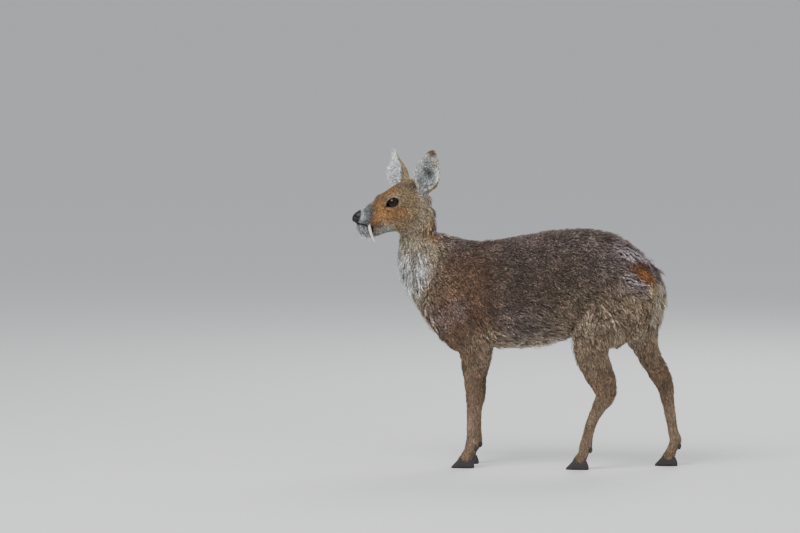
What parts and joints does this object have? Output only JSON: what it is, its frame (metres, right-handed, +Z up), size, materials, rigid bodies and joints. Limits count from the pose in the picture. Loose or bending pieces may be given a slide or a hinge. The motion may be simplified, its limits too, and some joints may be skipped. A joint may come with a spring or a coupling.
{
  "type": "animal model",
  "caption": "Life-size museum model of a chinese water deer buck, standing in mid-step with its head turned and its long upper canines showing",
  "frame": {"origin": "on the floor, under the middle of the whole animal", "axes": "+Z up, the head towards -X and the rump towards +X, the animal's left side towards -Y"},
  "size_m": [0.7794, 0.196, 0.7595],
  "materials": {
    "body_coat": "dense matt coat, dark grey-brown with fine buff flecks",
    "neck_coat": "matt coat, orange-tan with a cream, brown-streaked throat",
    "head_coat": "short matt coat, orange-tan with a pale chin and a grey muzzle",
    "tail_coat": "ragged matt coat",
    "leg_coat": "short matt coat, tan-brown, rufous at the hocks",
    "ear_coat": "thin matt coat, whitish inside with a brown rim and back",
    "nose_skin": "bare black skin, damp",
    "eye": "black, mirror-bright",
    "tusk_ivory": "smooth ivory",
    "hoof_horn": "dull black horn"
  },
  "bodies": {
    "root": {"chest": "body_coat", "barrel": "body_coat", "rump": "body_coat", "neck": "neck_coat", "head": "head_coat", "tail": "tail_coat", "nose": "nose_skin", "ear_left": "ear_coat", "ear_right": "ear_coat", "eye_left": "eye", "eye_right": "eye", "tusk_left": "tusk_ivory", "tusk_right": "tusk_ivory", "fore_left_upper": "leg_coat", "fore_left_lower": "leg_coat", "fore_right_upper": "leg_coat", "fore_right_lower": "leg_coat", "hind_left_thigh": "leg_coat", "hind_left_gaskin": "leg_coat", "hind_left_lower": "leg_coat", "hind_right_thigh": "leg_coat", "hind_right_gaskin": "leg_coat", "hind_right_lower": "leg_coat", "fore_left_claw_inner": "hoof_horn", "fore_left_claw_outer": "hoof_horn", "fore_right_claw_inner": "hoof_horn", "fore_right_claw_outer": "hoof_horn", "hind_left_claw_inner": "hoof_horn", "hind_left_claw_outer": "hoof_horn", "hind_right_claw_inner": "hoof_horn", "hind_right_claw_outer": "hoof_horn"}
  },
  "joints": []
}
